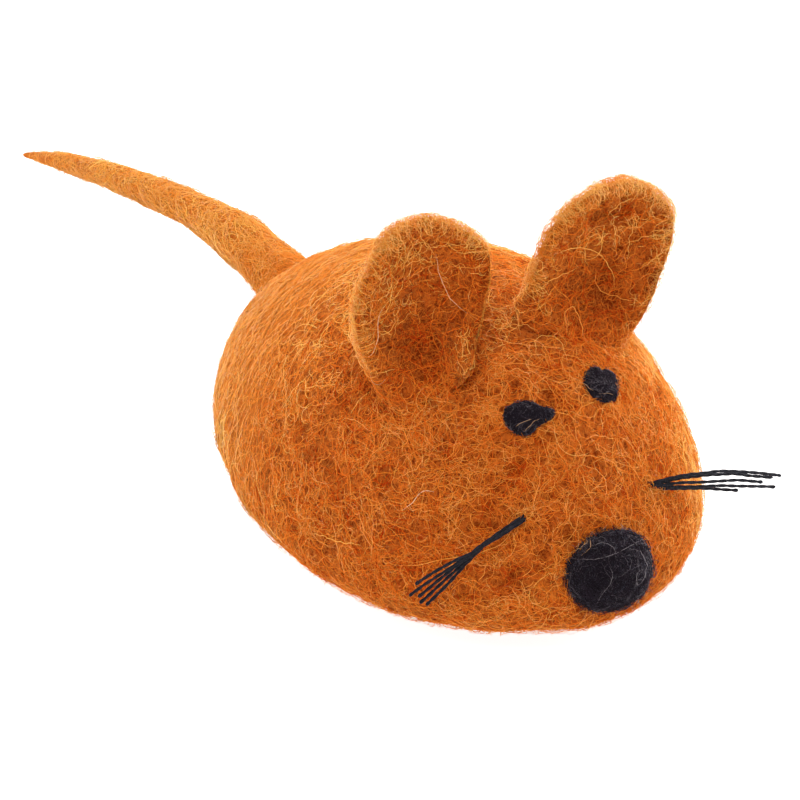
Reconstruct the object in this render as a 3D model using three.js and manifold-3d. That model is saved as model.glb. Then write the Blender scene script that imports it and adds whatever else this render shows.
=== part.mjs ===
// Needle-felted wool mouse: a felt body on a flat belly, with felt ears and tail, wool eyes and
// nose, and whiskers of sewing thread. Millimetres. +X is the nose, +Y the mouse's left, +Z up.
// The origin is the centre of the flat belly, on the surface that the mouse stands on.
import * as THREE from "three";
import Module from "manifold-3d";
import { mergeVertices } from "three/addons/utils/BufferGeometryUtils.js";

const wasm = await Module();
wasm.setup();

// ---------------------------------------------------------------- driving dimensions
const GAP = 0.3;                 // clearance between neighbouring pieces
const BODY_LENGTH = 60;
const BODY_WIDTH = 40;
const BODY_HEIGHT = 27.5;
const BODY_WIDEST_Z = 7.1;       // height at which the body is widest
const BODY_DROOP = 0.95;         // how much the widest line falls from the middle to the nose
const BODY_CUT = 1;              // how much of the round underside the flat belly takes off
const OUTLINE_POWER = 1.8;       // plan outline: 2 is an ellipse, less is more pointed
const SECTION_POWER = 1.9;       // cross-section: 2 is an ellipse
const FRONT_WIDER = 0.13;        // how much the front half is wider than the middle
const FRONT_HIGHER = 0.28;       // how much the front half is higher than the middle
const COAT_THICKNESS = 3;
const CORE_FRONT_X = 23;         // the muzzle ahead of this is solid coat wool
const CORE_REAR_X = -24;         // and so is the rump behind this, where the tail is rooted
const BELLY = { x: 2.7, length: 19, width: 13 };
const COAT_MESH = { around: 36, along: 26 };
const CORE_MESH = { around: 20, along: 14 };

const EYE = { radius: 1.65, depth: 0.8, proud: 0.75, bevel: 0.2, shoulder: 0.15 };
const EYES = { left: { x: 20, y: 4.4 }, right: { x: 20.8, y: -4.1 } };
const NOSE = { x: 28.7, y: -0.4, z: 9.45, halfWidth: 3.95, halfHeight: 3.55 };

const EARS = {
  left: { x: 13.1, y: 6.14, yaw: -5, lean: 24.5, rootWidth: 12.1, width: 13.6, height: 14.1,
    widestAt: 8, crown: 0.98 },
  right: { x: 12.46, y: -8.33, yaw: -5, lean: -6.4, rootWidth: 13.4, width: 14.8, height: 15.3,
    widestAt: 8.7, crown: 0.8 },
};
const EAR_ROOT_HALF_THICKNESS = 1.9;
const EAR_TIP_HALF_THICKNESS = 1.5;
const EAR_HINGE_RISE = 3;        // height of the fold line above the coat
const EAR_CUP = 1.2;             // how far the rims stand forward of the hollow
const EAR_CUP_FULL = 0.62;       // share of the flap's height at which the hollow is fully deep
const EAR_FOOT_POWER = 0.35;     // how bluntly the flap's width closes at its foot

// Tail centreline and radius: [x, z, radius]
const TAIL_LINE = [
  [-28.6, 11.4, 2.9],
  [-36, 12.4, 2.6],
  [-46.6, 11.5, 2.02],
  [-57.2, 9.5, 1.65],
  [-65, 7.6, 1.45],
  [-72, 5.7, 1.2],
  [-78.2, 3.8, 0.9],
  [-84.3, 1.7, 0.3],
];
const TAIL_BENDS_X = [-28.6, -41, -55, -69];
const TAIL_SWING = 25;           // degrees that the root may swing, for its clearance in the coat
const WELL = { reach: 6, play: 0.4 };    // the flared well that the root swings in

const THREAD_DIAMETER = 0.3;
const THREAD_RING = 0.42;        // the threads leave the muzzle in a small ring
const THREAD_START = 0.6;
const WHISKER_BOW = 0.5;         // how far a thread bows up in its middle
const STITCH = { holeRadius: 0.8, radius: 0.45, mouthRadius: 1.7 };
// Each thread's reach: [forward, outward, down]
const WHISKERS = {
  left: { root: [26, 6.05, 14.65], side: 1,
    reach: [[0.7, 12.2, 2.3], [0.6, 11, 2.9], [0.7, 8.2, 3.1], [-0.3, 5.4, 2.6], [-0.2, 11.8, 3.6]] },
  right: { root: [25.5, -6.9, 14.85], side: -1,
    reach: [[0.6, 11.3, 3], [0.7, 12, 4], [0.8, 10.8, 4.4], [0.1, 9.9, 5.6], [-0.1, 10.3, 5]] },
};

const COLOURS = { orange: 0xd6701e, undyed: 0xe4d9c3, black: 0x23222a };

// ---------------------------------------------------------------- solids
const felt = (colour) => new THREE.MeshStandardMaterial({ color: colour, roughness: 1, metalness: 0 });

/** A closed three.js geometry as a manifold solid. */
function solid(geometry) {
  const plain = geometry.clone();
  plain.deleteAttribute("normal");
  plain.deleteAttribute("uv");
  const merged = mergeVertices(plain, 1e-4);
  return new wasm.Manifold(new wasm.Mesh({
    numProp: 3,
    vertProperties: new Float32Array(merged.attributes.position.array),
    triVerts: new Uint32Array(merged.index.array),
  }));
}

/** A manifold solid back as a three.js geometry. */
function geometryOf(manifold) {
  const { vertProperties, triVerts } = manifold.getMesh();
  const geometry = new THREE.BufferGeometry();
  geometry.setAttribute("position", new THREE.BufferAttribute(new Float32Array(vertProperties), 3));
  geometry.setIndex(new THREE.BufferAttribute(new Uint32Array(triVerts), 1));
  return geometry;
}

/** A unit sphere, poles on X, with each vertex sent through map(x, y, z). */
function shapedSphere(around, along, map) {
  const geometry = new THREE.SphereGeometry(1, around, along);
  geometry.rotateZ(-Math.PI / 2);
  const place = geometry.attributes.position;
  for (let i = 0; i < place.count; i += 1) {
    const point = map(place.getX(i), place.getY(i), place.getZ(i));
    place.setXYZ(i, point.x, point.y, point.z);
  }
  return geometry;
}

const signedPower = (value, power) => Math.sign(value) * Math.abs(value) ** power;

/** How full the body is at u, from -1 at the tail to 1 at the nose. */
const fullness = (u) => Math.max(1 - Math.abs(u) ** OUTLINE_POWER, 0) ** (1 / OUTLINE_POWER);

/** The height of the body's top surface over (x, y). */
function topOfBody(x, y) {
  const u = x / (BODY_LENGTH / 2);
  const full = fullness(u);
  const halfWidth = (BODY_WIDTH / 2) * full * (1 + FRONT_WIDER * u);
  const cosine = Math.min(Math.abs(y) / halfWidth, 1) ** (SECTION_POWER / 2);
  const sine = Math.sqrt(1 - cosine ** 2) ** (2 / SECTION_POWER);
  const rise = (BODY_HEIGHT - BODY_WIDEST_Z) * full * (1 + FRONT_HIGHER * u);
  return BODY_WIDEST_Z - BODY_DROOP * u + rise * sine;
}

/** The unit normal of the body's top surface over (x, y). */
function normalOfBody(x, y) {
  const step = 0.05;
  const slopeX = (topOfBody(x + step, y) - topOfBody(x - step, y)) / (2 * step);
  const slopeY = (topOfBody(x, y + step) - topOfBody(x, y - step)) / (2 * step);
  return new THREE.Vector3(-slopeX, -slopeY, 1).normalize();
}

/** The body's egg with a flat belly, its skin moved inwards by inset, from rearX to frontX. */
function bodyEgg(inset, { around, along }, rearX, frontX) {
  const middleX = (frontX + rearX) / 2;
  const halfLength = (frontX - rearX) / 2;
  return shapedSphere(around, along, (px, py, pz) => {
    const u = px;
    const full = fullness(u);
    const ring = Math.hypot(py, pz) || 1;
    const side = signedPower(py / ring, 2 / SECTION_POWER);
    const lift = signedPower(pz / ring, 2 / SECTION_POWER);
    const y = (BODY_WIDTH / 2 - inset) * full * (1 + FRONT_WIDER * u) * side;
    const rise = (BODY_HEIGHT - BODY_WIDEST_Z - inset) * (1 + FRONT_HIGHER * u);
    const fall = BODY_WIDEST_Z + BODY_CUT - inset;
    const z = BODY_WIDEST_Z - BODY_DROOP * u + full * lift * (lift > 0 ? rise : fall);
    return new THREE.Vector3(middleX + halfLength * u, y, Math.max(z, inset));
  });
}

/** An upright elliptical plug under the belly, from z = low to z = high. */
function bellyPlug(grow, low, high) {
  const plug = new THREE.CylinderGeometry(1, 1, high - low, 32);
  plug.rotateX(Math.PI / 2);
  plug.scale(BELLY.length / 2 + grow, BELLY.width / 2 + grow, 1);
  plug.translate(BELLY.x, 0, (low + high) / 2);
  return plug;
}

// ---------------------------------------------------------------- tail
const tailCurve = new THREE.CatmullRomCurve3(TAIL_LINE.map(([x, z]) => new THREE.Vector3(x, 0, z)));
tailCurve.arcLengthDivisions = 400;

/** The tail's radius at x, between the given stations. */
function tailRadius(x) {
  const next = Math.max(TAIL_LINE.findIndex(([station]) => station <= x), 1);
  const [x0, , r0] = TAIL_LINE[next - 1];
  const [x1, , r1] = TAIL_LINE[next];
  return THREE.MathUtils.mapLinear(x, x0, x1, r0, r1);
}

/** The share of the tail's length at which its centreline reaches x. */
function tailShareAt(x) {
  let low = 0;
  let high = 1;
  for (let i = 0; i < 40; i += 1) {
    const middle = (low + high) / 2;
    if (tailCurve.getPointAt(middle).x > x) low = middle;
    else high = middle;
  }
  return low;
}

/** One stretch of the tail: a round front end centred on its bend, a body, and a tapered end. */
function tailStretch(startShare, endShare, sides, steps) {
  const start = tailCurve.getPointAt(startShare);
  const radius = tailRadius(start.x);
  const length = tailCurve.getLength();
  const profile = [];
  const ballSteps = 4;
  for (let i = 0; i < ballSteps; i += 1) {
    const turn = (i / ballSteps) * (Math.PI / 2);
    profile.push(new THREE.Vector2(radius * Math.sin(turn), -radius * Math.cos(turn)));
  }
  for (let i = 0; i <= steps; i += 1) {
    const share = THREE.MathUtils.lerp(startShare, endShare, i / steps);
    const along = (share - startShare) * length;
    profile.push(new THREE.Vector2(tailRadius(tailCurve.getPointAt(share).x), along));
  }
  profile[0].x = 0;
  profile.push(new THREE.Vector2(0, profile.at(-1).y + 0.05));
  const geometry = new THREE.LatheGeometry(profile, sides);
  const place = geometry.attributes.position;
  for (let i = 0; i < place.count; i += 1) {
    const along = place.getY(i);
    const share = THREE.MathUtils.clamp(startShare + along / length, startShare, 1);
    const tangent = tailCurve.getTangentAt(share);
    const up = new THREE.Vector3(tangent.z, 0, -tangent.x);
    const overrun = along - (share - startShare) * length;
    const point = tailCurve.getPointAt(share).addScaledVector(tangent, overrun);
    point.addScaledVector(up, place.getX(i));
    point.y -= place.getZ(i);
    place.setXYZ(i, point.x, point.y, point.z);
  }
  return geometry;
}

const ball = (centre, radius, around = 16, along = 12) =>
  new THREE.SphereGeometry(radius, around, along).translate(centre.x, centre.y, centre.z);

/** The four stretches, each hollowed at its rear for the next one's round end. */
function tailSegments() {
  const shares = TAIL_BENDS_X.map(tailShareAt);
  shares[0] = 0;
  return shares.map((share, i) => {
    const end = shares[i + 1] ?? 1;
    const stretch = solid(tailStretch(share, end, 14, 4));
    if (i === shares.length - 1) return geometryOf(stretch);
    const bend = tailCurve.getPointAt(end);
    return geometryOf(stretch.subtract(solid(ball(bend, tailRadius(bend.x) + GAP))));
  });
}

/** The flared well in the coat that the tail's root swings in. */
function tailWell() {
  const [rootX, rootZ, radius] = TAIL_LINE[0];
  const swing = THREE.MathUtils.degToRad(TAIL_SWING);
  const mouth = radius / Math.cos(swing) + GAP + WELL.reach * Math.tan(swing);
  const flare = new THREE.CylinderGeometry(mouth, radius + WELL.play, WELL.reach, 24);
  flare.rotateZ(Math.PI / 2);
  flare.translate(rootX - WELL.reach / 2, 0, rootZ);
  return solid(ball({ x: rootX, y: 0, z: rootZ }, radius + WELL.play)).add(solid(flare));
}

// ---------------------------------------------------------------- ears
/** Half the ear's width at height h above its root: straight sides, then a rounded crown. */
function earHalfWidth(ear, h) {
  const low = EAR_HINGE_RISE - EAR_ROOT_HALF_THICKNESS;
  if (h <= ear.widestAt) {
    const rise = Math.sin(((h - low) / (ear.widestAt - low)) * (Math.PI / 2));
    return (ear.rootWidth + (ear.width - ear.rootWidth) * rise) / 2;
  }
  const climb = (h - ear.widestAt) / (ear.height - ear.widestAt);
  const power = 2 * ear.crown;
  return (ear.width / 2) * Math.max(1 - climb ** power, 0) ** (1 / power);
}

/** One ear, standing on the coat: a cupped flap with a round foot centred on its fold line. */
function earFlap(ear) {
  const low = EAR_HINGE_RISE - EAR_ROOT_HALF_THICKNESS;
  return shapedSphere(20, 14, (px, py, pz) => {
    const h = low + (ear.height - low) * (1 + px) / 2;
    const ring = Math.hypot(py, pz) || 1;
    const below = Math.max(EAR_HINGE_RISE - h, 0) / EAR_ROOT_HALF_THICKNESS;
    const foot = Math.sqrt(Math.max(1 - below ** 2, 0));
    const above = Math.max(h - EAR_HINGE_RISE, 0) / (ear.height - EAR_HINGE_RISE);
    const slim = THREE.MathUtils.lerp(EAR_ROOT_HALF_THICKNESS, EAR_TIP_HALF_THICKNESS, above);
    const thick = slim * foot * Math.sqrt(Math.max(1 - above ** 4, 0));
    const across = earHalfWidth(ear, h) * foot ** EAR_FOOT_POWER * (py / ring);
    const cup = EAR_CUP * Math.sin(Math.min(above / EAR_CUP_FULL, 1) * Math.PI / 2);
    const forward = cup * ((2 * across / ear.width) ** 2 - 1 / 2);
    return new THREE.Vector3(forward - thick * (pz / ring), across, h);
  });
}

// ---------------------------------------------------------------- face
/** A low wool dot: a rounded disc with its middle on the coat's surface. */
function eyeDot() {
  const profile = [
    [0, -EYE.depth],
    [EYE.radius - EYE.bevel, -EYE.depth],
    [EYE.radius, -EYE.depth + EYE.bevel],
    [EYE.radius, EYE.shoulder],
    [EYE.radius * 0.8, EYE.proud * 0.7],
    [EYE.radius * 0.45, EYE.proud * 0.95],
    [0, EYE.proud],
  ].map(([x, y]) => new THREE.Vector2(x, y));
  return new THREE.LatheGeometry(profile, 16);
}

const uprightOn = (normal) => new THREE.Quaternion().setFromUnitVectors(new THREE.Vector3(0, 1, 0), normal);

/** The socket that an eye is needled into. */
function eyeSocket({ x, y }) {
  const depth = EYE.depth + GAP;
  const reach = 3;
  const socket = new THREE.CylinderGeometry(EYE.radius + GAP, EYE.radius + GAP, depth + reach, 16);
  socket.translate(0, (reach - depth) / 2, 0);
  socket.applyQuaternion(uprightOn(normalOfBody(x, y)));
  return solid(socket.translate(x, y, topOfBody(x, y)));
}

function noseBall(grow = 0) {
  const geometry = new THREE.SphereGeometry(1, 18, 12);
  geometry.scale(NOSE.halfHeight + grow, NOSE.halfWidth + grow, NOSE.halfHeight + grow);
  return geometry.translate(NOSE.x, NOSE.y, NOSE.z);
}

/** A straight rod between two points. */
function rod(from, to, radius) {
  const line = new THREE.Vector3().subVectors(to, from);
  const geometry = new THREE.CylinderGeometry(radius, radius, line.length(), 10);
  geometry.applyQuaternion(uprightOn(line.clone().normalize()));
  const middle = new THREE.Vector3().addVectors(from, to).multiplyScalar(0.5);
  return geometry.translate(middle.x, middle.y, middle.z);
}

/** The thread bundle's run through the muzzle, between the two whisker roots. */
function stitchRun(radius, shorten) {
  const left = new THREE.Vector3(...WHISKERS.left.root);
  const right = new THREE.Vector3(...WHISKERS.right.root);
  const along = new THREE.Vector3().subVectors(right, left).normalize();
  return rod(left.addScaledVector(along, shorten), right.addScaledVector(along, -shorten), radius);
}

/** One whisker thread, from its place in the root ring out to its end. */
function whiskerThread({ root, side, reach }, i) {
  const turn = (i / reach.length) * 2 * Math.PI;
  const [forward, outward, down] = reach[i];
  const end = new THREE.Vector3(forward, side * outward, -down);
  const ring = new THREE.Vector3(Math.sin(turn), 0, Math.cos(turn)).multiplyScalar(THREAD_RING);
  const start = end.clone().normalize().multiplyScalar(THREAD_START).add(ring);
  const middle = start.clone().lerp(end, 0.5);
  middle.z += WHISKER_BOW;
  const path = new THREE.CatmullRomCurve3([start, middle, end]);
  const section = new THREE.Shape().absarc(0, 0, THREAD_DIAMETER / 2, 0, 2 * Math.PI);
  const geometry = new THREE.ExtrudeGeometry(section, { steps: 5, curveSegments: 4, extrudePath: path });
  return geometry.translate(...root);
}

// ---------------------------------------------------------------- coat
/** The orange skin: the egg less the core's room, the belly opening, sockets, well and stitch hole. */
function coatShell() {
  const outside = solid(bodyEgg(0, COAT_MESH, -BODY_LENGTH / 2, BODY_LENGTH / 2));
  const room = solid(bodyEgg(COAT_THICKNESS, CORE_MESH, CORE_REAR_X - GAP, CORE_FRONT_X + GAP));
  const opening = solid(bellyPlug(GAP, -1, COAT_THICKNESS + 2));
  const mouths = Object.values(WHISKERS)
    .map(({ root }) => solid(ball(new THREE.Vector3(...root), STITCH.mouthRadius, 12, 8)));
  return [
    room, opening, tailWell(), solid(noseBall(GAP)),
    ...Object.values(EYES).map(eyeSocket),
    solid(stitchRun(STITCH.holeRadius, -1)),
    ...mouths,
  ].reduce((shell, cut) => shell.subtract(cut), outside);
}

// ---------------------------------------------------------------- assembly
const group = new THREE.Group();

function add(name, geometry, colour, parent = group) {
  const mesh = new THREE.Mesh(geometry, felt(colour));
  mesh.name = name;
  parent.add(mesh);
  return mesh;
}

add("body_core", bodyEgg(COAT_THICKNESS + GAP, CORE_MESH, CORE_REAR_X, CORE_FRONT_X), COLOURS.undyed);
add("body_coat", geometryOf(coatShell()), COLOURS.orange);
add("belly_patch", bellyPlug(0, 0, COAT_THICKNESS), COLOURS.orange);

for (const [side, ear] of Object.entries(EARS)) {
  const stand = new THREE.Group();
  stand.position.set(ear.x, ear.y, topOfBody(ear.x, ear.y));
  const yaw = THREE.MathUtils.degToRad(ear.yaw);
  const lean = THREE.MathUtils.degToRad(ear.lean);
  stand.rotation.set(-lean, 0, yaw, "ZYX");
  group.add(stand);
  add(`ear_${side}`, earFlap(ear), COLOURS.orange, stand);
}

tailSegments().forEach((geometry, i) => add(`tail_${i + 1}`, geometry, COLOURS.orange));

for (const [side, { x, y }] of Object.entries(EYES)) {
  const eye = add(`eye_${side}`, eyeDot(), COLOURS.black);
  eye.quaternion.copy(uprightOn(normalOfBody(x, y)));
  eye.position.set(x, y, topOfBody(x, y));
}

add("nose", noseBall(), COLOURS.black);
add("whisker_stitch", stitchRun(STITCH.radius, 1), COLOURS.black);
for (const [side, tuft] of Object.entries(WHISKERS)) {
  tuft.reach.forEach((_, i) => add(`whisker_${side}_${i + 1}`, whiskerThread(tuft, i), COLOURS.black));
}

export default group;
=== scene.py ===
import math

import bmesh
import bpy
import numpy as np
from mathutils import Matrix, Vector
from mathutils.bvhtree import BVHTree
from mathutils.kdtree import KDTree


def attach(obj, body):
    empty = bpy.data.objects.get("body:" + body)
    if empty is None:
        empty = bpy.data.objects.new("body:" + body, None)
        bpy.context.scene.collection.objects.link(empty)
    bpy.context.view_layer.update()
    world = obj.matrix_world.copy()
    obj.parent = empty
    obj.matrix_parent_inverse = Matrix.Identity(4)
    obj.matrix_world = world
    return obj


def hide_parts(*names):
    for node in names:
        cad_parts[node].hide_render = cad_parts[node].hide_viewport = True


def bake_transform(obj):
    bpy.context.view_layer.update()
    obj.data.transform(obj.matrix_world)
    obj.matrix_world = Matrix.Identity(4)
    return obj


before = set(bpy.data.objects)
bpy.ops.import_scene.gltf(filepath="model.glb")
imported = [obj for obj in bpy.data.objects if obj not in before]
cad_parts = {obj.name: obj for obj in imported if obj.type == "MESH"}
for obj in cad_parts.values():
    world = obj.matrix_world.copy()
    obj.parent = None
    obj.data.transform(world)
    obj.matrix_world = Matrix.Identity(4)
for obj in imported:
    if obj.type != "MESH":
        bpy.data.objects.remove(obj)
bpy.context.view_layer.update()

# Lengths in this script are millimetres, turned into metres where a mesh, light or camera is made.
MM = 0.001
SEED = 41

# ---- driving dimensions: the CAD's, with the ears, whiskers and eyes fitted a little more closely
BODY_LENGTH = 60
BODY_WIDTH = 40
BODY_HEIGHT = 27.5
BODY_WIDEST_Z = 7.1
BODY_RISE = BODY_HEIGHT - BODY_WIDEST_Z
BODY_DROOP = 0.95                  # how far the widest level sinks from the middle to the nose
BODY_CUT = 1                       # how much of the round belly the flat takes off
BELLY_HEM = 0.3                    # roundness of the belly's edge
OUTLINE_POWER = 1.8                # 2 is an ellipse, seen from above
SECTION_POWER = 1.9                # 2 is an ellipse, seen from the front
FRONT_WIDER = 0.13
FRONT_HIGHER = 0.28

EARS = {
    # swell: how much wider or narrower the flap is than an ellipse, at its foot, middle and crown,
    # on the side towards the middle of the head (inner) and on the other (outer). pinch: how far
    # the inner rim draws in near the foot, where it folds forward.
    "left": dict(x=13.1, y=5.94, yaw=-5, lean=24.5, side=1, half_width=7.0, top=13.9, cup=1.9, fold=0.5,
                 pinch=0.0,
                 swell=dict(inner=(0.40, 0.02, 0.0), outer=(0.26, -0.10, 0.22))),
    "right": dict(x=12.46, y=-8.33, yaw=-5, lean=-6.4, side=-1, half_width=7.4, top=15.0, cup=2.4, fold=3.2,
                  pinch=0.72,
                  swell=dict(inner=(-0.30, 0.0, -0.07), outer=(-0.12, 0.0, -0.05))),
}
EAR_FOOT = -2.5                    # how far the ear's foot reaches into the head
# The tail's centreline and radius: x, z, radius.
TAIL_LINE = [(-28.6, 11.4, 2.9), (-36, 12.4, 2.6), (-46.6, 11.5, 2.02), (-57.2, 9.5, 1.65),
             (-65, 7.6, 1.45), (-72, 5.7, 1.2), (-78.2, 3.8, 0.9), (-84.3, 1.7, 0.3)]
TAIL_CUTS_X = [-35, -48, -62]      # the tail's pieces meet midway between its bends
TAIL_ROOT_REACH = 2.5              # how far the rope reaches into the rump
EYES = {"left": (20, 4.4), "right": (20.8, -4.1)}
EYE_RADIUS = 1.62
EYE_RISE, EYE_ROOT = 0.62, 0.7     # how far an eye stands out of the head and reaches into it
HEAD_RADIUS = 19                   # how round the head is under the eyes
NOSE = dict(x=28.7, y=-0.4, z=9.45, half_width=3.95, half_height=3.55)
WHISKERS = {
    # reach: each thread's end, forward, outward and down from the root. parts_at: how far along the
    # tuft each thread leaves the others. fan: the share of its length over which it does so.
    # bulge: how much wider the tuft is in its middle than at its end.
    "left": dict(
        root=(26.0, 6.05, 14.65), side=1, fan=0.12, bulge=0.1, parts_at=(0, 0, 0, 0, 0),
        reach=[(0.7, 12.8, 2.6), (-0.2, 12.5, 3.15), (0.6, 10.9, 2.75), (0.7, 12.2, 3.6), (-0.3, 8.9, 3.45)]),
    "right": dict(
        root=(25.3, -6.85, 14.8), side=-1, fan=0.6, bulge=0, parts_at=(0.5, 0.5, 0.5, 0.3, 0.3),
        reach=[(0.6, 11.3, 2.9), (0.7, 12, 3.8), (0.7, 11.1, 4.2), (0.2, 10.65, 5.2), (0, 9.9, 5.75)]),
}
THREADS = 5                        # in each tuft
THREAD_RING = 0.42                 # the radius of the ring in which they leave the muzzle
THREAD_PLY = 0.115                 # the radius of each of a thread's two plies
ROOT_DEPTH = 1.3                   # how far the threads plunge into the muzzle at their root
WHISKER_BOW = 1.2                  # a tuft bows up by a quarter of this in its middle

FIBRE_LAYER = 0.22                 # how deep the loose fibres lie on the felt, inside the true outline
TUBE_SIDES = 3                     # of each fibre
TAIL_ROOT_X = -31                  # behind this, fibres are combed along the tail

CAMERA = dict(azimuth=59.94, elevation=28.9, roll=-0.67, distance=549.8,
              target=(-0.38, -4.27, 13.73), lens=272.6, sensor=36)

# ---- colours, linear
ORANGE_DARK = (0.445, 0.041, 0.003)
ORANGE_MID = (0.675, 0.119, 0.009)
ORANGE_WARM = (0.765, 0.190, 0.019)
ORANGE_LIGHT = (0.825, 0.280, 0.043)
ORANGE_PALE = (0.950, 0.410, 0.075)
PINKISH = (0.800, 0.440, 0.230)
BLACK_WOOL = (0.011, 0.008, 0.011)
BLACK_LIGHT = (0.075, 0.062, 0.070)
UNDYED = (0.78, 0.69, 0.54)


# ---- small geometry
def signed_power(value, power):
    return np.sign(value) * np.abs(value) ** power


def ramp(low, high, value):
    """0 up to low and 1 from high on, with a smooth rise between them. It falls where low is more."""
    t = np.clip((value - low) / (high - low), 0, 1)
    return t * t * (3 - 2 * t)


def unit(vectors):
    return vectors / np.maximum(np.linalg.norm(vectors, axis=-1, keepdims=True), 1e-12)


class Field:
    """A smooth random field in space, from -1 to 1, the same on each run."""

    def __init__(self, seed, cells=32):
        self.cells = cells
        self.values = np.random.default_rng(seed).uniform(-1, 1, (cells, cells, cells))

    def __call__(self, points, size):
        at = points / size
        cell = np.floor(at).astype(int)
        part = at - cell
        part = part * part * (3 - 2 * part)
        total = 0
        for corner in np.ndindex(2, 2, 2):
            weight = np.prod(np.where(corner, part, 1 - part), axis=-1)
            i, j, k = np.moveaxis((cell + corner) % self.cells, -1, 0)
            total = total + weight * self.values[i, j, k]
        return total


field = Field(SEED)


def sphere(level):
    """An icosphere's points and triangles."""
    mesh = bmesh.new()
    bmesh.ops.create_icosphere(mesh, subdivisions=level, radius=1)
    points = np.array([v.co for v in mesh.verts])
    faces = np.array([[v.index for v in f.verts] for f in mesh.faces])
    mesh.free()
    return unit(points), faces


def face_vectors(points, faces):
    """Each triangle's normal, as long as twice its area."""
    a, b, c = points[faces[:, 0]], points[faces[:, 1]], points[faces[:, 2]]
    return np.cross(b - a, c - a)


def point_normals(points, faces):
    """Vertex normals, weighted by face area."""
    flat = face_vectors(points, faces)
    total = np.zeros_like(points)
    for corner in range(3):
        np.add.at(total, faces[:, corner], flat)
    return unit(total)


def outward(points, faces):
    """The faces, turned so that a closed surface faces outwards."""
    a, b, c = points[faces[:, 0]], points[faces[:, 1]], points[faces[:, 2]]
    volume = np.einsum("ij,ij->i", a, np.cross(b, c)).sum()
    return faces if volume > 0 else faces[:, ::-1]


def joined(parts):
    """The points and faces of several meshes as one."""
    offsets = np.cumsum([0] + [len(points) for points, _ in parts])
    return (np.vstack([points for points, _ in parts]),
            np.vstack([faces + offset for (_, faces), offset in zip(parts, offsets)]))


def tube_quads(rings, around):
    """The four corners of each quad between neighbouring rings of points."""
    i, j = np.meshgrid(np.arange(rings - 1), np.arange(around), indexing="ij")
    a = (i * around + j).ravel()
    b = (i * around + (j + 1) % around).ravel()
    return a, b, a + around, b + around


def piece(name, points, faces, materials, tone=None, shade=None):
    """A mesh object from millimetre points, triangles, a material index for each triangle and the
    darkness of each point."""
    mesh = bpy.data.meshes.new(name)
    mesh.vertices.add(len(points))
    mesh.vertices.foreach_set("co", (np.asarray(points) * MM).astype(np.float32).ravel())
    mesh.loops.add(faces.size)
    mesh.loops.foreach_set("vertex_index", faces.astype(np.int32).ravel())
    mesh.polygons.add(len(faces))
    mesh.polygons.foreach_set("loop_start", np.arange(0, faces.size, 3, dtype=np.int32))
    mesh.polygons.foreach_set("use_smooth", np.full(len(faces), True))
    if tone is not None:
        mesh.polygons.foreach_set("material_index", tone.astype(np.int32))
    mesh.update(calc_edges=True)
    mesh.validate()
    if shade is not None:
        mesh.attributes.new("shade", "FLOAT", "POINT").data.foreach_set("value", shade.astype(np.float32))
    for material in materials:
        mesh.materials.append(material)
    thing = bpy.data.objects.new(name, mesh)
    bpy.context.scene.collection.objects.link(thing)
    return thing


# ---- materials
class Shader:
    """A node material, built by calls that each add one node."""

    def __init__(self, name):
        self.material = bpy.data.materials.new(name)
        self.material.use_nodes = True
        self.tree = self.material.node_tree
        self.surface = self.tree.nodes["Principled BSDF"]

    def put(self, node, key, value):
        if isinstance(value, bpy.types.NodeSocket):
            self.tree.links.new(value, node.inputs[key])
        else:
            node.inputs[key].default_value = value

    def node(self, kind, inputs, **settings):
        made = self.tree.nodes.new(kind)
        for key, value in settings.items():
            setattr(made, key, value)
        for key, value in inputs.items():
            self.put(made, key, value)
        return made

    def place(self):
        """The position in the object, in millimetres."""
        at = self.node("ShaderNodeTexCoord", {}).outputs["Object"]
        scaled = self.node("ShaderNodeVectorMath", {0: at, "Scale": 1 / MM}, operation="SCALE")
        return scaled.outputs["Vector"]

    def noise(self, at, per_mm, detail=2, rough=0.5, distortion=0.0):
        made = self.node("ShaderNodeTexNoise", {"Vector": at, "Scale": per_mm, "Detail": detail,
                                                "Roughness": rough, "Distortion": distortion})
        return made.outputs["Fac"]

    def maths(self, operation, a, b=0.0, clamp=False):
        made = self.node("ShaderNodeMath", {0: a, 1: b}, operation=operation, use_clamp=clamp)
        return made.outputs["Value"]

    def remap(self, value, low, high, to_low=0.0, to_high=1.0):
        made = self.node("ShaderNodeMapRange", {"Value": value, "From Min": low, "From Max": high,
                                                "To Min": to_low, "To Max": to_high},
                         interpolation_type="SMOOTHSTEP")
        return made.outputs["Result"]

    def mix(self, factor, a, b):
        made = self.node("ShaderNodeMix", {}, data_type="RGBA")
        self.put(made, 0, factor)
        self.put(made, 6, (*a, 1) if isinstance(a, tuple) else a)
        self.put(made, 7, (*b, 1) if isinstance(b, tuple) else b)
        return made.outputs[2]

    def finish(self, inputs):
        for key, value in inputs.items():
            self.put(self.surface, key, value)
        return self.material

    def fibre_lines(self, at, per_mm, width, shift):
        """Thin wandering lines, 1 on the line and 0 off it: the edges where a warped noise
        crosses its middle value."""
        moved = self.node("ShaderNodeVectorMath", {0: at, 1: (shift, 2 * shift, -shift)}, operation="ADD")
        grain = self.noise(moved.outputs["Vector"], per_mm, detail=1.5, distortion=1.2)
        off = self.maths("ABSOLUTE", self.maths("SUBTRACT", grain, 0.5))
        return self.remap(off, 0.0, width, 1.0, 0.0)


def wool_tone(name, colour, sheen=0.12, sheen_tint=(1, 0.7, 0.35)):
    """One plain tone of wool, for loose fibres."""
    return Shader(name).finish({
        "Base Color": (*colour, 1), "Roughness": 0.9, "Specular IOR Level": 0.0,
        "Sheen Weight": sheen, "Sheen Roughness": 0.3, "Sheen Tint": (*sheen_tint, 1),
        "Subsurface Weight": 0.6, "Subsurface Radius": (1, 1, 1), "Subsurface Scale": 0.05 * MM})


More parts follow.
